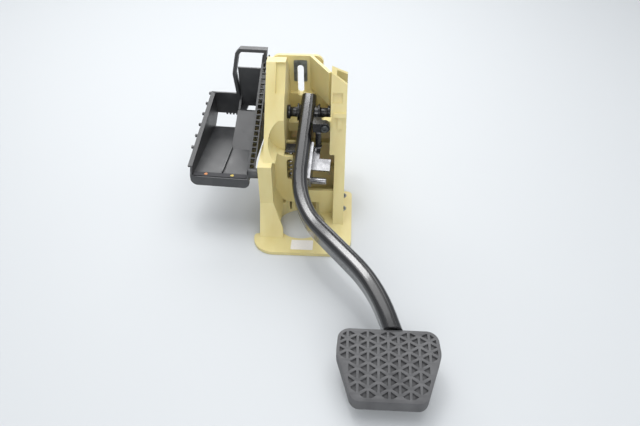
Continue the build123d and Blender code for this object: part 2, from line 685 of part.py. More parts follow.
def pushrod_bracket():
    """Bent sheet: an ear on the arm's side, a switch tab across its top edge and a turned-down end."""
    side = ARM_WIDTH / 2
    ear = arm_box(side, side + EAR_THICK, EAR_FROM, EAR_TO, EAR_FOOT, EAR_TOP)
    tab = arm_box(side, side + TAB_STEM_WIDTH, EAR_FROM, TAB_STEM_TO, TAB_LEVEL - EAR_THICK, TAB_LEVEL)
    wide = arm_box(side, side + TAB_WIDTH, TAB_STEM_TO, TAB_TO, TAB_LEVEL - EAR_THICK, TAB_LEVEL)
    far = side + TAB_WIDTH
    drop = arm_box(far - EAR_THICK, far, TAB_DROP_FROM, TAB_TO, TAB_LEVEL - TAB_DROP, TAB_LEVEL)
    sheet = ear + tab + wide + drop - arm_outer()
    return sheet - pin_bar(PIN_TAIL_R + SEAT_GAP, side - PAST, side + EAR_THICK + PAST)


def pin_bar(radius, x0, x1):
    """A round bar across the arm on the pushrod pin's axis."""
    start = ARM_FRAME.from_local_coords(Vector(x0, -PIN_AT, PIN_LEVEL))
    end = ARM_FRAME.from_local_coords(Vector(x1, -PIN_AT, PIN_LEVEL))
    return rod(radius, tuple(start), tuple(end))


def pushrod_pin():
    """Pin for the pushrod's eye, riveted into the ear, with a chamfered free end."""
    side = ARM_WIDTH / 2
    shoulder = side + EAR_THICK
    pin = pin_bar(PIN_R, shoulder, shoulder + PIN_LENGTH)
    pin = chamfer(pin.edges().sort_by(Axis.X)[-1], PIN_CHAMFER)
    return pin + pin_bar(PIN_TAIL_R, side, shoulder)


def spring_lug():
    """Level tab on the arm's left side that the return spring pushes on."""
    left = SPRING_X - SPRING_R - LUG_MARGIN
    foot = SPRING_TOP_Z + FREE_GAP
    front = SPRING_Y - LUG_LENGTH / 2
    tab = block(left, ARM_CENTRE.X, front, front + LUG_LENGTH, foot, foot + LUG_THICK)
    return tab - arm_box(-ARM_WIDTH / 2, ARM_WIDTH, 0, 2 * EAR_TO, -ARM_DEPTH, ARM_DEPTH)


def return_spring():
    height = SPRING_TOP_Z - SPRING_FOOT_Z - 2 * SPRING_WIRE_R
    coil_r = SPRING_R - SPRING_WIRE_R
    path = Helix(height / SPRING_TURNS, height, coil_r)
    wire = Plane(origin=path @ 0, z_dir=path % 0) * RegularPolygon(SPRING_WIRE_R, 6)
    return Pos(SPRING_X, SPRING_Y, SPRING_FOOT_Z + SPRING_WIRE_R) * sweep(wire, path=path, is_frenet=True)


# Pad
def pad_outline(grow):
    """Plan outline of the pad, grown or shrunk."""
    far = PAD_FAR_Y
    mid = far - PAD_MID_AT
    near = far - PAD_LENGTH
    points = [
        (PAD_X - PAD_FAR_WIDTH / 2, far),
        (PAD_X + PAD_FAR_WIDTH / 2, far),
        (PAD_X + PAD_MID_WIDTH / 2, mid),
        (PAD_X + PAD_NEAR_WIDTH / 2, near),
        (PAD_X - PAD_NEAR_WIDTH / 2, near),
        (PAD_X - PAD_MID_WIDTH / 2, mid),
    ]
    face = make_face(Polyline(*points, close=True))
    rows = face.vertices().group_by(Axis.Y)
    face = fillet(rows[-1], PAD_FAR_CORNER_R)
    near_points = face.vertices().filter_by(lambda v: abs(v.Y - near) < SAME)
    face = fillet(near_points, PAD_NEAR_CORNER_R)
    mid_points = face.vertices().filter_by(lambda v: abs(v.Y - mid) < SAME)
    face = fillet(mid_points, PAD_MID_CORNER_R)
    return face if grow == 0 else offset(face, amount=grow)


def pad_layer(depth0, depth1, outline):
    """The part of the rolled pad between two depths below its face, inside a plan outline."""
    centre_z = PAD_FACE_Z - PAD_ROLL_R
    length = 2 * PAD_MID_WIDTH
    start = (PAD_X - length / 2, PAD_FAR_Y, centre_z)
    end = (PAD_X + length / 2, PAD_FAR_Y, centre_z)
    shell = rod(PAD_ROLL_R - depth0, start, end) - rod(PAD_ROLL_R - depth1, start, end)
    prism = extrude(outline, amount=PAD_FACE_Z + 4 * PAD_THICK, dir=(0, 0, 1))
    return shell & (Pos(0, 0, -PAD_THICK) * prism)


def tread():
    """Triangular pockets between bars that run along the pad and along both diagonals."""
    inside = pad_outline(-TREAD_MARGIN)
    columns = math.ceil(PAD_MID_WIDTH / TREAD_COLUMN_PITCH / 2) + 1
    rows = math.ceil(PAD_LENGTH / TREAD_ROW_PITCH) + 1
    inset = TREAD_BAR / 2
    pockets = []
    for column in range(-columns, columns + 1):
        for row in range(-1, rows + 1):
            y = PAD_FAR_Y - (row + 0.5 * (column % 2)) * TREAD_ROW_PITCH
            x = PAD_X + column * TREAD_COLUMN_PITCH
            for side in (-1, 1):
                point = (x + side * TREAD_COLUMN_PITCH, y - TREAD_ROW_PITCH / 2)
                triangle = make_face(Polyline((x, y), (x, y - TREAD_ROW_PITCH), point, close=True))
                clipped = offset(triangle, amount=-inset, kind=Kind.INTERSECTION) & inside
                if clipped is not None and sum(f.area for f in clipped.faces()) > TREAD_LEAST_AREA:
                    pockets.extend(clipped.faces())
    return pockets


def pedal_pad():
    pad = pad_layer(0, PAD_THICK, pad_outline(0))
    pad -= pad_layer(PAD_COVER, PAD_COVER + PLATE_THICK + SEAT_GAP, pad_outline(-PAD_RIM))
    pad -= pad_layer(PAD_COVER + PAST, PAD_THICK + PAST, pad_outline(-PAD_LIP))
    cuts = [extrude(face, amount=PAD_FACE_Z + PAD_THICK, dir=(0, 0, 1)) for face in tread()]
    skin = pad_layer(-PAST, TREAD_DEPTH, pad_outline(PAST))
    return pad - [cut & skin for cut in cuts]


def pad_plate():
    return pad_layer(PAD_COVER + SEAT_GAP, PAD_COVER + PLATE_THICK, pad_outline(-PAD_RIM - SEAT_GAP))


# Brake light switch
HOLDER_MID_Z = (HOLDER_FOOT + HOLDER_TOP) / 2


def tab_height():
    """Height of the switch tab's upper face under the plunger."""
    normal = ARM_FRAME.z_dir
    on_tab = ARM_CENTRE + normal * TAB_LEVEL
    drop = (SWITCH_X - on_tab.X) * normal.X + (SWITCH_Y - on_tab.Y) * normal.Y
    return on_tab.Z - drop / normal.Z


SWITCH_BARREL_FOOT = tab_height() + SWITCH_STANDOFF


def screw_bar(radius, y0, y1):
    """A round bar along Y on the holder screw's axis."""
    return rod(radius, (HOLDER_SCREW_X, y0, HOLDER_MID_Z), (HOLDER_SCREW_X, y1, HOLDER_MID_Z))


def switch_bar(radius, z0, z1):
    """A round bar along Z on the switch's axis."""
    return rod(radius, (SWITCH_X, SWITCH_Y, z0), (SWITCH_X, SWITCH_Y, z1))


def switch_holder():
    """Block that grips the switch, with a lobe for its screw and the plug's socket at its back."""
    body = block(HOLDER_LEFT, HOLDER_SCREW_X, HOLDER_FRONT, HOLDER_BACK, HOLDER_FOOT, HOLDER_TOP)
    body += screw_bar((HOLDER_TOP - HOLDER_FOOT) / 2, HOLDER_FRONT, HOLDER_BACK)
    right = HOLDER_LEFT + CONNECTOR_WIDTH
    back = HOLDER_BACK + CONNECTOR_DEPTH
    foot = HOLDER_MID_Z - CONNECTOR_HEIGHT / 2
    top = HOLDER_MID_Z + CONNECTOR_HEIGHT / 2
    wall = CONNECTOR_WALL
    body += block(HOLDER_LEFT, right, HOLDER_BACK, back, foot, top)
    body -= block(HOLDER_LEFT + wall, right - wall, HOLDER_BACK, back + PAST, foot + wall, top - wall)
    body -= screw_bar(SCREW_R + SEAT_GAP, HOLDER_FRONT - PAST, HOLDER_BACK + PAST)
    return body - switch_bar(SWITCH_BARREL_R + SEAT_GAP, HOLDER_FOOT - PAST, HOLDER_TOP + PAST)


def switch_body():
    """Barrel through the holder, with the plunger's bore in its foot."""
    barrel = switch_bar(SWITCH_BARREL_R, SWITCH_BARREL_FOOT, HOLDER_TOP)
    bore_top = SWITCH_BARREL_FOOT + PLUNGER_INSIDE + PAST
    return barrel - switch_bar(PLUNGER_R + RUN_GAP, SWITCH_BARREL_FOOT - PAST, bore_top)


def switch_rings():
    """Bright rings at the two ends of the barrel."""
    bore = SWITCH_BARREL_R + SEAT_GAP
    rings = []
    for z in (SWITCH_BARREL_FOOT, HOLDER_FOOT - SWITCH_RING_HEIGHT):
        outer = switch_bar(SWITCH_RING_R, z, z + SWITCH_RING_HEIGHT)
        rings.append(outer - switch_bar(bore, z - PAST, z + SWITCH_RING_HEIGHT + PAST))
    return Compound(children=rings)


def switch_plunger():
    """Round-ended plunger that the switch tab holds in while the pedal is up."""
    lean = math.radians(ARM_SLOPE)
    tip_centre = tab_height() + (PLUNGER_R + FREE_GAP) / math.cos(lean)
    stem = switch_bar(PLUNGER_R, tip_centre, SWITCH_BARREL_FOOT + PLUNGER_INSIDE)
    return stem + Pos(SWITCH_X, SWITCH_Y, tip_centre) * Sphere(PLUNGER_R)


def switch_screw():
    start = HOLDER_FRONT - SCREW_HEAD_HEIGHT
    head = screw_bar(SCREW_HEAD_R, start, HOLDER_FRONT)
    shank = screw_bar(SCREW_R, HOLDER_FRONT, HOLDER_BACK + SCREW_REACH)
    drive = Plane.XZ.offset(-start) * Pos(HOLDER_SCREW_X, HOLDER_MID_Z) * RegularPolygon(SCREW_R, 6)
    return head + shank - extrude(drive, amount=SCREW_HEAD_HEIGHT / 2, dir=(0, 1, 0))


def bump_stop():
    """Rubber buffer under the arm's tail that sets the released position."""
    foot = ROOF_FOOT_Z + BEAM_DEPTH_Z
    column = rod(STOP_R, (ARM_PIVOT_X, STOP_Y, foot), (ARM_PIVOT_X, STOP_Y, PIVOT_Z + STOP_R))
    cut_foot = -ARM_DEPTH / 2 - FREE_GAP
    cut = arm_box(-ARM_WIDTH, ARM_WIDTH, -3 * ARM_TAIL, 3 * ARM_TAIL, cut_foot, 2 * ARM_DEPTH)
    return column - cut


# Cable tray
TRAY_FRAME = Location((TRAY_X, TRAY_Y, TRAY_Z), (0, 0, TRAY_TURN))


def cable_tray():
    wall = TRAY_WALL
    left = -TRAY_WIDTH
    back = TRAY_LENGTH
    divider = -TRAY_DIVIDER
    floor = block(left, 0, 0, TRAY_FLOOR_BACK, 0, wall)
    left_outline = [
        (0, 0),
        (0, wall),
        (TRAY_SIDE_RUN, TRAY_SIDE_FRONT_Z),
        (back, TRAY_SIDE_BACK_Z),
        (back, TRAY_SIDE_FRONT_Z),
        (TRAY_FLOOR_BACK, 0),
    ]
    left_wall = side_plate(left_outline, left, left + wall)
    right_outline = [
        (0, 0),
        (0, wall),
        (TRAY_SIDE_RUN, TRAY_SIDE_FRONT_Z),
        (back, TRAY_RIGHT_BACK_Z),
        (back, TRAY_SHELF_Z),
        (TRAY_SHELF_FROM, 0),
    ]
    right_wall = side_plate(right_outline, -wall, 0)
    divider_outline = [
        (TRAY_RAMP_FROM, 0),
        (TRAY_RAMP_FROM, wall),
        TRAY_DIVIDER_KNEE,
        (TRAY_SHELF_FROM, TRAY_SHELF_Z),
        (back, TRAY_SIDE_BACK_Z),
        (back, 0),
    ]
    divide = side_plate(divider_outline, divider, divider + wall)
    rib = block(divider, divider + wall / 2, TRAY_LIP_DROP, TRAY_RAMP_FROM, 0, 2 * wall)
    back_wall = block(left, divider + wall, back - wall, back, TRAY_SIDE_FRONT_Z, TRAY_SIDE_BACK_Z)
    ramp = side_plate(
        [
            (TRAY_RAMP_FROM, 0),
            (TRAY_SHELF_FROM, TRAY_SHELF_Z - wall),
            (back, TRAY_SHELF_Z - wall),
            (back, TRAY_SHELF_Z),
            (TRAY_SHELF_FROM - wall, TRAY_SHELF_Z),
            (TRAY_RAMP_FROM - wall, wall),
        ],
        divider,
        0,
    )
    tower = block(divider, 0, back - wall, back, TRAY_SHELF_Z - wall, TRAY_BACK_TOP)
    hole_front = TRAY_SHELF_FROM
    shelf_hole = block(TRAY_HOLE_LEFT, TRAY_HOLE_RIGHT, hole_front, back - 2 * wall, 0, TRAY_SHELF_Z + PAST)
    skirt = Pos(left / 2, (wall - TRAY_LIP_DROP) / 2) * Rectangle(TRAY_WIDTH, wall + TRAY_LIP_DROP)
    skirt = fillet(skirt.vertices().group_by(Axis.Y)[0], TRAY_LIP_R)
    lip = extrude(Plane.XZ * skirt, amount=wall, dir=(0, 1, 0))
    tray = floor + left_wall + right_wall + divide + rib + back_wall + ramp + tower + lip - shelf_hole
    tray += tray_loop(divider, back)
    tray += tray_rim(left, back) + tray_ladder(back)
    tray += tray_teeth(divider, back) + tray_nubs(left - TRAY_RIM, back)
    tray = TRAY_FRAME * tray
    tray += tray_pads()
    return tray - rivet_hole()


def tray_loop(divider, back):
    """Closed loop that keeps the cables at the top of the right-hand channel, with a cut corner."""
    bar = LOOP_BAR
    foot = TRAY_SIDE_BACK_Z
    outer = [
        (divider - LOOP_BULGE / 2, foot),
        (divider - LOOP_BULGE, LOOP_SHOULDER_Z),
        (divider, LOOP_TOP - LOOP_BULGE),
        (divider + LOOP_BULGE, LOOP_TOP),
        (LOOP_LEAN, LOOP_TOP),
        (0, LOOP_SHOULDER_Z),
        (0, foot),
    ]
    inner = [
        (divider - LOOP_BULGE / 2 + bar, foot - PAST),
        (divider - LOOP_BULGE + bar, LOOP_SHOULDER_Z),
        (divider + bar, LOOP_TOP - LOOP_BULGE - bar / 2),
        (divider + LOOP_BULGE + bar / 2, LOOP_TOP - bar),
        (LOOP_LEAN - bar, LOOP_TOP - bar),
        (-bar, LOOP_SHOULDER_Z),
        (-bar, foot - PAST),
    ]
    ring_face = make_face(Polyline(*outer, close=True)) - make_face(Polyline(*inner, close=True))
    return extrude(Plane.XZ.offset(-back) * ring_face, amount=LOOP_DEPTH, dir=(0, -1, 0))


def tray_rim(left, back):
    """Turned-out rim along the top of the left wall."""
    outline = [
        (TRAY_SIDE_RUN, TRAY_SIDE_FRONT_Z),
        (back, TRAY_SIDE_BACK_Z),
        (back, TRAY_SIDE_BACK_Z - TRAY_RIM_THICK),
        (TRAY_SIDE_RUN, TRAY_SIDE_FRONT_Z - TRAY_RIM_THICK),
    ]
    return [side_plate(outline, left - TRAY_RIM, left)]


def tray_ladder(back):
    """Open ladder of ribs along the outside of the right wall's top edge."""
    run = Vector(0, back - TRAY_SIDE_RUN, TRAY_RIGHT_BACK_Z - TRAY_SIDE_FRONT_Z)
    slope = run.normalized()
    edge = Plane(
        origin=(0, TRAY_SIDE_RUN, TRAY_SIDE_FRONT_Z),
        x_dir=(1, 0, 0),
        z_dir=(0, -slope.Z, slope.Y),
    )
    rail = block(LADDER_WIDTH - LADDER_RAIL, LADDER_WIDTH, 0, run.length, -LADDER_DEPTH, 0)
    pieces = [edge * rail]
    for index in range(int(run.length / LADDER_PITCH) + 1):
        y = index * LADDER_PITCH
        pieces.append(edge * block(-LADDER_RAIL, LADDER_WIDTH, y, y + LADDER_RAIL, -LADDER_DEPTH, 0))
    return pieces


def tray_teeth(divider, back):
    """Comb along the lower edge of the back wall."""
    foot = TRAY_SIDE_FRONT_Z - TOOTH_WIDTH
    teeth = []
    for index in range(TOOTH_COUNT):
        x = divider - TOOTH_PITCH * (index + 1)
        teeth.append(block(x, x + TOOTH_WIDTH, back - TRAY_WALL, back, foot, TRAY_SIDE_FRONT_Z))
    return teeth


def tray_nubs(left, back):
    """Small catches along the outside of the left wall."""
    nubs = []
    for index in range(NUB_COUNT):
        along = (index + 2) / (NUB_COUNT + 1)
        y = along * back - NUB_SIZE
        top = TRAY_SIDE_FRONT_Z + along * (TRAY_SIDE_BACK_Z - TRAY_SIDE_FRONT_Z) - TRAY_RIM_THICK / 2
        nubs.append(block(left - NUB_SIZE, left, y, y + NUB_SIZE, top - NUB_SIZE, top))
    return nubs


def tray_wall_x(y):
    """Outer face of the tray's right wall at a height of the bracket."""
    return TRAY_X - (y - TRAY_Y) * math.tan(math.radians(TRAY_TURN))


RIVET_Y = PILLAR_FACE_Y + PILLAR_TOP_DEPTH
RIVET_Z = TRAY_Z + RIVET_LEVEL


def tray_pads():
    """Two feet that stand the tray off the left cheek: one at the rivet, one higher up."""
    low_x = tray_wall_x(RIVET_Y) - TRAY_WALL / 2
    high_x = tray_wall_x(TRAY_PAD_Y) - TRAY_WALL / 2
    low = cross_rod(RIVET_PAD_R, low_x, LEFT_OUTER, RIVET_Y, RIVET_Z)
    high = cross_rod(TRAY_PAD_R, high_x, LEFT_UPPER_OUTER, TRAY_PAD_Y, TRAY_PAD_Z)
    return [low, high]


def rivet_hole():
    return cross_rod(RIVET_R + SEAT_GAP, TRAY_X - 2 * TRAY_WALL, LEFT_OUTER + WALL + PAST, RIVET_Y, RIVET_Z)


def tray_rivet():
    return cross_rod(RIVET_R, TRAY_X - TRAY_WALL, LEFT_OUTER + WALL, RIVET_Y, RIVET_Z)


def main():
    nodes = {
        "pedal_bracket": pedal_bracket(),
        "flange_sleeves": flange_sleeves(),
        "slot_clip": slot_clip(),
        "bump_stop": bump_stop(),
        "pivot_bolt": pivot_bolt(),
        "pivot_nut": pivot_nut(),
        "pivot_washers": pivot_washers(),
        "cheek_bush_left": cheek_bush(LEFT_INNER, 1),
        "cheek_bush_right": cheek_bush(RIGHT_INNER, -1),
        "spacer_left": spacer(LEFT_INNER + COLLAR_LENGTH, HUB_LEFT - BUSH_FLANGE_THICK - RUN_GAP),
        "spacer_right": spacer(HUB_RIGHT + BUSH_FLANGE_THICK + RUN_GAP, RIGHT_INNER - COLLAR_LENGTH),
        "hub_bush_left": hub_bush(HUB_LEFT, -1),
        "hub_bush_right": hub_bush(HUB_RIGHT, 1),
        "hub_tube": hub_tube(),
        "pedal_arm": pedal_arm(),
        "pushrod_bracket": pushrod_bracket(),
        "pushrod_pin": pushrod_pin(),
        "spring_lug": spring_lug(),
        "return_spring": return_spring(),
        "pad_plate": pad_plate(),
        "pedal_pad": pedal_pad(),
        "switch_holder": switch_holder(),
        "switch_body": switch_body(),
        "switch_rings": switch_rings(),
        "switch_plunger": switch_plunger(),
        "switch_screw": switch_screw(),
        "cable_tray": cable_tray(),
        "tray_rivet": tray_rivet(),
    }
    os.makedirs("parts", exist_ok=True)
    for name, shape in nodes.items():
        export_step(shape, f"parts/{name}.step")


main()
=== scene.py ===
"""Brake pedal assembly: materials, small surface detail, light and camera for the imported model."""

import json
import math

import bmesh
import bpy
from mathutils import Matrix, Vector

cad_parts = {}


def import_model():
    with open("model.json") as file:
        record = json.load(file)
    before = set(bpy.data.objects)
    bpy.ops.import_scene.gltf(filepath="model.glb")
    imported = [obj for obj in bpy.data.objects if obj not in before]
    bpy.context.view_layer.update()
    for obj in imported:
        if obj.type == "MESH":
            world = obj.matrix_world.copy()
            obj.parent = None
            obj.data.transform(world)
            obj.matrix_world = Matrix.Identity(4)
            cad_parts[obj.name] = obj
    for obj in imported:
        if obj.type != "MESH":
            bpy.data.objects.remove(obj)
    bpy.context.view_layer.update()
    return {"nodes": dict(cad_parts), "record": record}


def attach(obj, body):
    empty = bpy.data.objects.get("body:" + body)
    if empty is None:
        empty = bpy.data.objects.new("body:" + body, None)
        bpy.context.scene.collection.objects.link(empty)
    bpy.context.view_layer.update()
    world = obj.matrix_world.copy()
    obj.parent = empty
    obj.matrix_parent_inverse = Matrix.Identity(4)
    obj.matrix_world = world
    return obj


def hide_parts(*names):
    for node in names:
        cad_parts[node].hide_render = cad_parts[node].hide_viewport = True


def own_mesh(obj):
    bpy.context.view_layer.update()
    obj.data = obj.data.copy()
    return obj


MM = 0.001

CAMERA_AT = (0.04828, -0.55824, 0.486)
CAMERA_PITCH = 49.5
CAMERA_YAW = 3.0
CAMERA_LENS = 32.6
CAMERA_SENSOR = 36.0

FLOOR_SIZE = 8.0
FLOOR_COLOUR = (0.59, 0.61, 0.625)
FLOOR_ROUGHNESS = 0.6
WORLD_COLOUR = (0.93, 0.96, 1.0)
WORLD_STRENGTH = 0.55

CREAM = (0.73, 0.64, 0.315)
CREAM_DEEP = (0.64, 0.53, 0.22)
BLACK_NYLON = (0.022, 0.023, 0.025)
BLACK_NYLON_WORN = (0.040, 0.041, 0.043)
BUSH_BLACK = (0.008, 0.008, 0.009)
ARM_BLACK = (0.006, 0.006, 0.007)
ARM_BLACK_DUST = (0.018, 0.018, 0.019)
ZINC = (0.37, 0.37, 0.38)
ZINC_DULL = (0.25, 0.25, 0.26)
SPRING_BRIGHT = (0.80, 0.80, 0.79)
PHOSPHATE = (0.16, 0.17, 0.17)
PHOSPHATE_PALE = (0.27, 0.29, 0.285)
RUBBER = (0.072, 0.072, 0.075)
RUBBER_DUST = (0.135, 0.135, 0.139)
INK_THIN = 0.6
STICKER_WHITE = (0.84, 0.81, 0.77)
STICKER_SHADE = (0.76, 0.73, 0.69)
INK_ORANGE = (0.75, 0.30, 0.10)
INK_YELLOW = (0.75, 0.58, 0.12)

# Fine edges on the CAD nodes, in millimetres
EDGE_MM = {"pedal_bracket": 0.9, "cable_tray": 0.5, "pedal_pad": 0.4}
PLAIN_EDGE_MM = 0.25
UNBEVELLED = {"return_spring", "pedal_arm"}
WELD_DISTANCE = 1e-5
BEVEL_SEGMENTS = 2
BEVEL_ANGLE = 35

# The blank sticker: left, right, front, back and corner radius, in millimetres
FLANGE_TOP = 4.5
STICKER_BOX = (-13, 13.3, -63.5, -47.0, 1.0)
STICKER_THICK = 0.12

# The tray's own frame in plan: its right front corner and its turn, then the height of its floor
TRAY_CORNER = (-63.5, -21.0)
TRAY_TURN = -3.5
TRAY_FLOOR_TOP = 73.5
STRIP_BOX = (-67.5, -3.5, 1.8, 9.3, 1.2)
STRIP_HEIGHT = 0.8
STRIP_EDGE_MM = 0.3
DAB_BACK = 5.6
DAB_RADIUS = 2.0
DAB_WAVE = 0.12
DAB_HEIGHT = 0.08
DAB_STEPS = 24
PAINT_DABS = (("paint_dab_left", -53.0, INK_ORANGE), ("paint_dab_right", -21.3, INK_YELLOW))

# The return spring, in millimetres
SPRING_AXIS = (-17.5, 17.0)
SPRING_LOW = 52.0
SPRING_HIGH = 93.0
SPRING_WIRE = 0.8
COIL_RADIUS = 3.1
CLOSED_PITCH = 1.7
SPRING_TURNS = 8
STEPS_PER_TURN = 32
WIRE_SIDES = 10
SPRING_STEP = 0.01

# Lamps: name, place, aim, width, depth and power
LAMPS = (
    ("ceiling", (0.0, 0.2, 1.1), (0.0, 0.0, 0.0), 1.2, 0.9, 7.5),
    ("back_strip", (-0.3, 1.15, 0.85), (-0.08, 0.0, 0.05), 1.6, 0.55, 10),
    ("arm_strip", (-0.14, 0.22, 1.05), (0.045, -0.115, 0.06), 0.09, 0.3, 1.3),
    ("front_fill", (0.25, -1.2, 0.75), (0.0, -0.05, 0.05), 1.2, 0.6, 6),
)


class Surface:
    """A material under construction: a Principled shader and the nodes that feed it."""

    def __init__(self, name):
        self.material = bpy.data.materials.new(name)
        self.material.use_nodes = True
        self.tree = self.material.node_tree
        self.shader = self.tree.nodes["Principled BSDF"]
        self.place = self.node("ShaderNodeTexCoord").outputs["Object"]
        self.height = None

    def node(self, kind):
        return self.tree.nodes.new(kind)

    def set(self, **values):
        for key, value in values.items():
            self.shader.inputs[key.replace("_", " ")].default_value = value

    def link(self, source, target):
        self.tree.links.new(source, target)

    def noise(self, size_mm, detail=3.0, stretch=(1, 1, 1)):
        """Noise with blotches of about the given size, stretched along the axes."""
        mapping = self.node("ShaderNodeMapping")
        mapping.inputs["Scale"].default_value = [s / (size_mm * MM) for s in stretch]
        self.link(self.place, mapping.inputs["Vector"])
        noise = self.node("ShaderNodeTexNoise")
        noise.inputs["Scale"].default_value = 1.0
        noise.inputs["Detail"].default_value = detail
        self.link(mapping.outputs["Vector"], noise.inputs["Vector"])
        return noise.outputs["Fac"]

    def ramp(self, source, low, high, start=0.35, end=0.65):
        """Colours low to high over the given part of the source's range."""
        ramp = self.node("ShaderNodeValToRGB")
        first, last = ramp.color_ramp.elements
        first.position = start
        last.position = end
        first.color = (*low, 1)
        last.color = (*high, 1)
        self.link(source, ramp.inputs["Fac"])
        return ramp.outputs["Color"]

    def colour(self, source, low, high, start=0.35, end=0.65):
        self.link(self.ramp(source, low, high, start, end), self.shader.inputs["Base Color"])

    def roughness(self, source, low, high):
        spread = self.node("ShaderNodeMapRange")
        spread.inputs["From Min"].default_value = 0.3
        spread.inputs["From Max"].default_value = 0.7
        spread.inputs["To Min"].default_value = low
        spread.inputs["To Max"].default_value = high
        self.link(source, spread.inputs["Value"])
        self.link(spread.outputs["Result"], self.shader.inputs["Roughness"])

    def bump(self, source, strength, depth_mm):
        """Adds a layer of relief of the given depth."""
        layer = self.node("ShaderNodeBump")
        layer.inputs["Strength"].default_value = strength
        layer.inputs["Distance"].default_value = depth_mm * MM
        self.link(source, layer.inputs["Height"])
        if self.height is not None:
            self.link(self.height, layer.inputs["Normal"])
        self.height = layer.outputs["Normal"]
        self.link(self.height, self.shader.inputs["Normal"])


def cream_nylon():
    """Glass-filled nylon: warm, slightly translucent, with flow marks and a fine satin grain."""
    surface = Surface("cream_nylon")
    flow = surface.noise(26, detail=4, stretch=(1, 0.5, 0.4))
    grain = surface.noise(0.5, detail=2)
    surface.colour(flow, CREAM_DEEP, CREAM, 0.2, 0.6)
    surface.roughness(flow, 0.34, 0.5)
    surface.bump(grain, 0.25, 0.06)
    surface.bump(flow, 0.3, 0.25)
    surface.set(Subsurface_Weight=0.12, Subsurface_Scale=0.004, Specular_IOR_Level=0.5)
    surface.shader.inputs["Subsurface Radius"].default_value = (1.0, 0.6, 0.25)
    return surface.material


def black_nylon():
    """Matt black moulding with a spark-eroded grain and pale handling marks."""
    surface = Surface("black_nylon")
    marks = surface.noise(14, detail=6)
    grain = surface.noise(0.6, detail=2)
    surface.colour(marks, BLACK_NYLON, BLACK_NYLON_WORN, 0.45, 0.75)
    surface.roughness(marks, 0.36, 0.5)
    surface.bump(grain, 0.35, 0.08)
    surface.set(Specular_IOR_Level=0.9)
    return surface.material


def black_bush():
    surface = Surface("black_bush")
    marks = surface.noise(5, detail=4)
    surface.colour(marks, BUSH_BLACK, BLACK_NYLON, 0.4, 0.8)
    surface.roughness(marks, 0.2, 0.34)
    surface.bump(marks, 0.1, 0.05)
    return surface.material


def arm_paint():
    """Gloss black paint with orange peel, a dusty bloom and a clear coat."""
    surface = Surface("arm_paint")
    bloom = surface.noise(30, detail=5)
    peel = surface.noise(2.2, detail=1.5)
    surface.colour(bloom, ARM_BLACK, ARM_BLACK_DUST, 0.45, 0.8)
    surface.roughness(bloom, 0.2, 0.32)
    surface.bump(peel, 0.25, 0.14)
    surface.set(Coat_Weight=0.8, Coat_Roughness=0.12)
    return surface.material


def plated_steel(name, bright, dull, rough):
    """Bright or dark plated sheet with rolling marks."""
    surface = Surface(name)
    rolled = surface.noise(3, detail=4, stretch=(1, 0.12, 1))
    spots = surface.noise(7, detail=5)
    surface.colour(spots, dull, bright, 0.35, 0.6)
    surface.roughness(rolled, rough, rough + 0.15)
    surface.bump(rolled, 0.12, 0.05)
    surface.set(Metallic=1.0)
    return surface.material


def rubber(name, dark, dusty):
    """Moulded rubber, dusty in patches, with a fine grain."""
    surface = Surface(name)
    dust = surface.noise(18, detail=6)
    grain = surface.noise(0.7, detail=2)
    surface.colour(dust, dark, dusty, 0.3, 0.75)
    surface.roughness(dust, 0.5, 0.68)
    surface.bump(grain, 0.3, 0.07)
    return surface.material


def sticker_paper():
    surface = Surface("sticker_paper")
    fibres = surface.noise(1.5, detail=4)
    surface.colour(fibres, STICKER_SHADE, STICKER_WHITE)
    surface.roughness(fibres, 0.35, 0.5)
    surface.bump(fibres, 0.1, 0.03)
    return surface.material


def ink(name, colour):
    surface = Surface(name)
    wash = surface.noise(1.2, detail=3)
    surface.colour(wash, [INK_THIN * c for c in colour], colour)
    surface.roughness(wash, 0.5, 0.7)
    return surface.material


def dress_nodes(nodes, record):
    """Gives each node its slot's material or a darker one of its own, and rounds most edges."""
    finishes = {
        "cream_nylon": cream_nylon(),
        "black_nylon": black_nylon(),
        "black_bush": black_bush(),
        "arm_paint": arm_paint(),
        "zinc_steel": plated_steel("zinc_steel", ZINC, ZINC_DULL, 0.22),
        "dark_steel": plated_steel("dark_steel", PHOSPHATE_PALE, PHOSPHATE, 0.4),
        "pad_rubber": rubber("pad_rubber", RUBBER, RUBBER_DUST),
        "stop_rubber": rubber("stop_rubber", RUBBER, RUBBER),
    }
    own_finish = {
        "spacer_left": finishes["black_bush"],
        "spacer_right": finishes["black_bush"],
        "switch_holder": finishes["black_bush"],
        "switch_body": finishes["black_bush"],
        "flange_sleeves": plated_steel("sleeve_steel", PHOSPHATE_PALE, PHOSPHATE, 0.35),
        "switch_screw": plated_steel("screw_steel", PHOSPHATE, BLACK_NYLON_WORN, 0.3),
    }
    for part in record["subparts"]:
        name = part["node"]
        obj = nodes[name]
        obj.data.materials.clear()
        obj.data.materials.append(own_finish.get(name, finishes[part["material_slot"]]))
        if name not in UNBEVELLED:
            round_edges(obj, EDGE_MM.get(name, PLAIN_EDGE_MM))


def round_edges(obj, width_mm):
    weld = obj.modifiers.new("weld", "WELD")
    weld.merge_threshold = WELD_DISTANCE
    bevel = obj.modifiers.new("edges", "BEVEL")
    bevel.width = width_mm * MM
    bevel.segments = BEVEL_SEGMENTS
    bevel.limit_method = "ANGLE"
    bevel.angle_limit = math.radians(BEVEL_ANGLE)
    bevel.use_clamp_overlap = True
    bevel.harden_normals = True


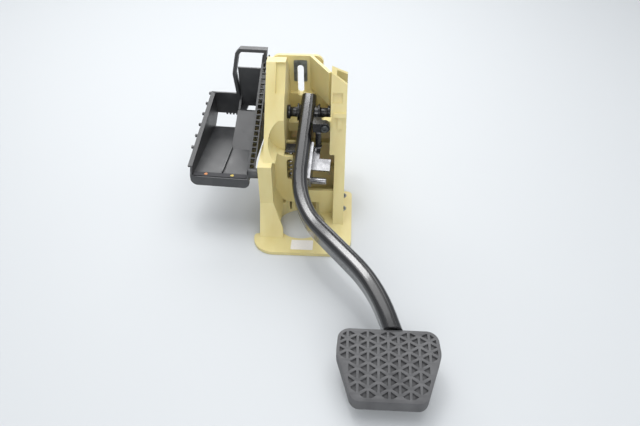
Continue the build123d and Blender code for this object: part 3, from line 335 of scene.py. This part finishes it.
def plate(name, outline, low, high, material):
    """A flat plate between two heights, from its outline in millimetres."""
    mesh = bpy.data.meshes.new(name)
    shape = bmesh.new()
    foot = [shape.verts.new((x * MM, y * MM, low * MM)) for x, y in outline]
    face = shape.faces.new(foot)
    raised = bmesh.ops.extrude_face_region(shape, geom=[face])
    tops = [v for v in raised["geom"] if isinstance(v, bmesh.types.BMVert)]
    bmesh.ops.translate(shape, vec=Vector((0, 0, (high - low) * MM)), verts=tops)
    bmesh.ops.recalc_face_normals(shape, faces=shape.faces)
    shape.to_mesh(mesh)
    shape.free()
    obj = bpy.data.objects.new(name, mesh)
    bpy.context.collection.objects.link(obj)
    mesh.materials.append(material)
    return obj


def rounded_box(x0, x1, y0, y1, radius, steps=5):
    """Outline of a rectangle with round corners."""
    corners = [(x1 - radius, y1 - radius, 0), (x0 + radius, y1 - radius, 90)]
    corners += [(x0 + radius, y0 + radius, 180), (x1 - radius, y0 + radius, 270)]
    outline = []
    for x, y, start in corners:
        for step in range(steps + 1):
            angle = math.radians(start + 90 * step / steps)
            outline.append((x + radius * math.cos(angle), y + radius * math.sin(angle)))
    return outline


def blank_sticker():
    """The paper sticker on the front of the flange, left blank."""
    outline = rounded_box(*STICKER_BOX)
    top = FLANGE_TOP + STICKER_THICK
    sticker = plate("blank_sticker", outline, FLANGE_TOP, top, sticker_paper())
    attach(sticker, "bracket")


def tray_point(across, back):
    """A point of the cable tray's own plan, in millimetres of the object's frame."""
    turn = math.radians(TRAY_TURN)
    x = TRAY_CORNER[0] + across * math.cos(turn) - back * math.sin(turn)
    y = TRAY_CORNER[1] + across * math.sin(turn) + back * math.cos(turn)
    return x, y


def tray_front_strip():
    """The smooth strip along the front of the tray's floor, with two dabs of inspection paint."""
    outline = [tray_point(*corner) for corner in rounded_box(*STRIP_BOX)]
    top = TRAY_FLOOR_TOP + STRIP_HEIGHT
    nylon = bpy.data.materials["black_nylon"]
    strip = plate("tray_front_strip", outline, TRAY_FLOOR_TOP, top, nylon)
    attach(strip, "bracket")
    round_edges(strip, STRIP_EDGE_MM)
    for name, centre, colour in PAINT_DABS:
        dab = []
        for step in range(DAB_STEPS):
            angle = math.tau * step / DAB_STEPS
            radius = DAB_RADIUS * (1 + DAB_WAVE * math.sin(3 * angle + centre))
            back = DAB_BACK + radius * math.sin(angle)
            dab.append(tray_point(centre + radius * math.cos(angle), back))
        spot = plate(name, dab, top, top + DAB_HEIGHT, ink(name, colour))
        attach(spot, "bracket")


def spring_path(turn):
    """Centre of the spring's wire after a number of turns, with closed turns at both ends."""
    middle_turns = SPRING_TURNS - 2
    middle_pitch = (SPRING_HIGH - SPRING_LOW - 2 * SPRING_WIRE - 2 * CLOSED_PITCH) / middle_turns
    height = CLOSED_PITCH * min(turn, 1)
    height += middle_pitch * min(max(turn - 1, 0), middle_turns)
    height += CLOSED_PITCH * max(turn - 1 - middle_turns, 0)
    angle = math.tau * turn
    x = SPRING_AXIS[0] + COIL_RADIUS * math.cos(angle)
    y = SPRING_AXIS[1] + COIL_RADIUS * math.sin(angle)
    return Vector((x, y, SPRING_LOW + SPRING_WIRE + height))


def coil_spring(material):
    """Round wire return spring, fixed to the bracket in place of the model's own spring."""
    mesh = bpy.data.meshes.new("return_coil")
    shape = bmesh.new()
    rings = []
    for step in range(SPRING_TURNS * STEPS_PER_TURN + 1):
        turn = step / STEPS_PER_TURN
        centre = spring_path(turn)
        along = (spring_path(turn + SPRING_STEP) - spring_path(turn - SPRING_STEP)).normalized()
        out = Vector((math.cos(math.tau * turn), math.sin(math.tau * turn), 0))
        up = along.cross(out)
        ring = []
        for side in range(WIRE_SIDES):
            angle = math.tau * side / WIRE_SIDES
            point = centre + SPRING_WIRE * (out * math.cos(angle) + up * math.sin(angle))
            ring.append(shape.verts.new(point * MM))
        rings.append(ring)
    for first, second in zip(rings, rings[1:]):
        for side in range(WIRE_SIDES):
            after = (side + 1) % WIRE_SIDES
            shape.faces.new((first[side], first[after], second[after], second[side])).smooth = True
    shape.faces.new(rings[0])
    shape.faces.new(rings[-1])
    bmesh.ops.recalc_face_normals(shape, faces=shape.faces)
    shape.to_mesh(mesh)
    shape.free()
    mesh.materials.append(material)
    spring = bpy.data.objects.new("return_coil", mesh)
    bpy.context.collection.objects.link(spring)
    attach(spring, "bracket")
    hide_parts("return_spring")
    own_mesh(spring)


def area_light(name, at, aim, width, depth, power):
    light = bpy.data.lights.new(name, "AREA")
    light.shape = "RECTANGLE"
    light.size = width
    light.size_y = depth
    light.energy = power
    obj = bpy.data.objects.new(name, light)
    obj.location = at
    obj.rotation_euler = (Vector(aim) - Vector(at)).to_track_quat("-Z", "Y").to_euler()
    bpy.context.collection.objects.link(obj)


def light_booth():
    """White floor and background with soft overhead light."""
    world = bpy.data.worlds.new("booth")
    bpy.context.scene.world = world
    world.use_nodes = True
    background = world.node_tree.nodes["Background"]
    background.inputs["Color"].default_value = (*WORLD_COLOUR, 1)
    background.inputs["Strength"].default_value = WORLD_STRENGTH
    bpy.ops.mesh.primitive_plane_add(size=FLOOR_SIZE)
    floor = bpy.context.object
    floor.name = "floor"
    surface = Surface("floor_paint")
    surface.set(Base_Color=(*FLOOR_COLOUR, 1), Roughness=FLOOR_ROUGHNESS)
    floor.data.materials.append(surface.material)
    for lamp in LAMPS:
        area_light(*lamp)


def place_camera():
    data = bpy.data.cameras.new("camera")
    data.sensor_width = CAMERA_SENSOR
    data.lens = CAMERA_LENS
    camera = bpy.data.objects.new("camera", data)
    camera.location = CAMERA_AT
    camera.rotation_euler = (math.radians(CAMERA_PITCH), 0, math.radians(CAMERA_YAW))
    bpy.context.collection.objects.link(camera)
    bpy.context.scene.camera = camera


def main():
    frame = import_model()
    bpy.context.scene.view_settings.view_transform = "Standard"
    place_camera()
    light_booth()
    dress_nodes(frame["nodes"], frame["record"])
    blank_sticker()
    tray_front_strip()
    coil_spring(plated_steel("spring_steel", SPRING_BRIGHT, ZINC, 0.18))


main()
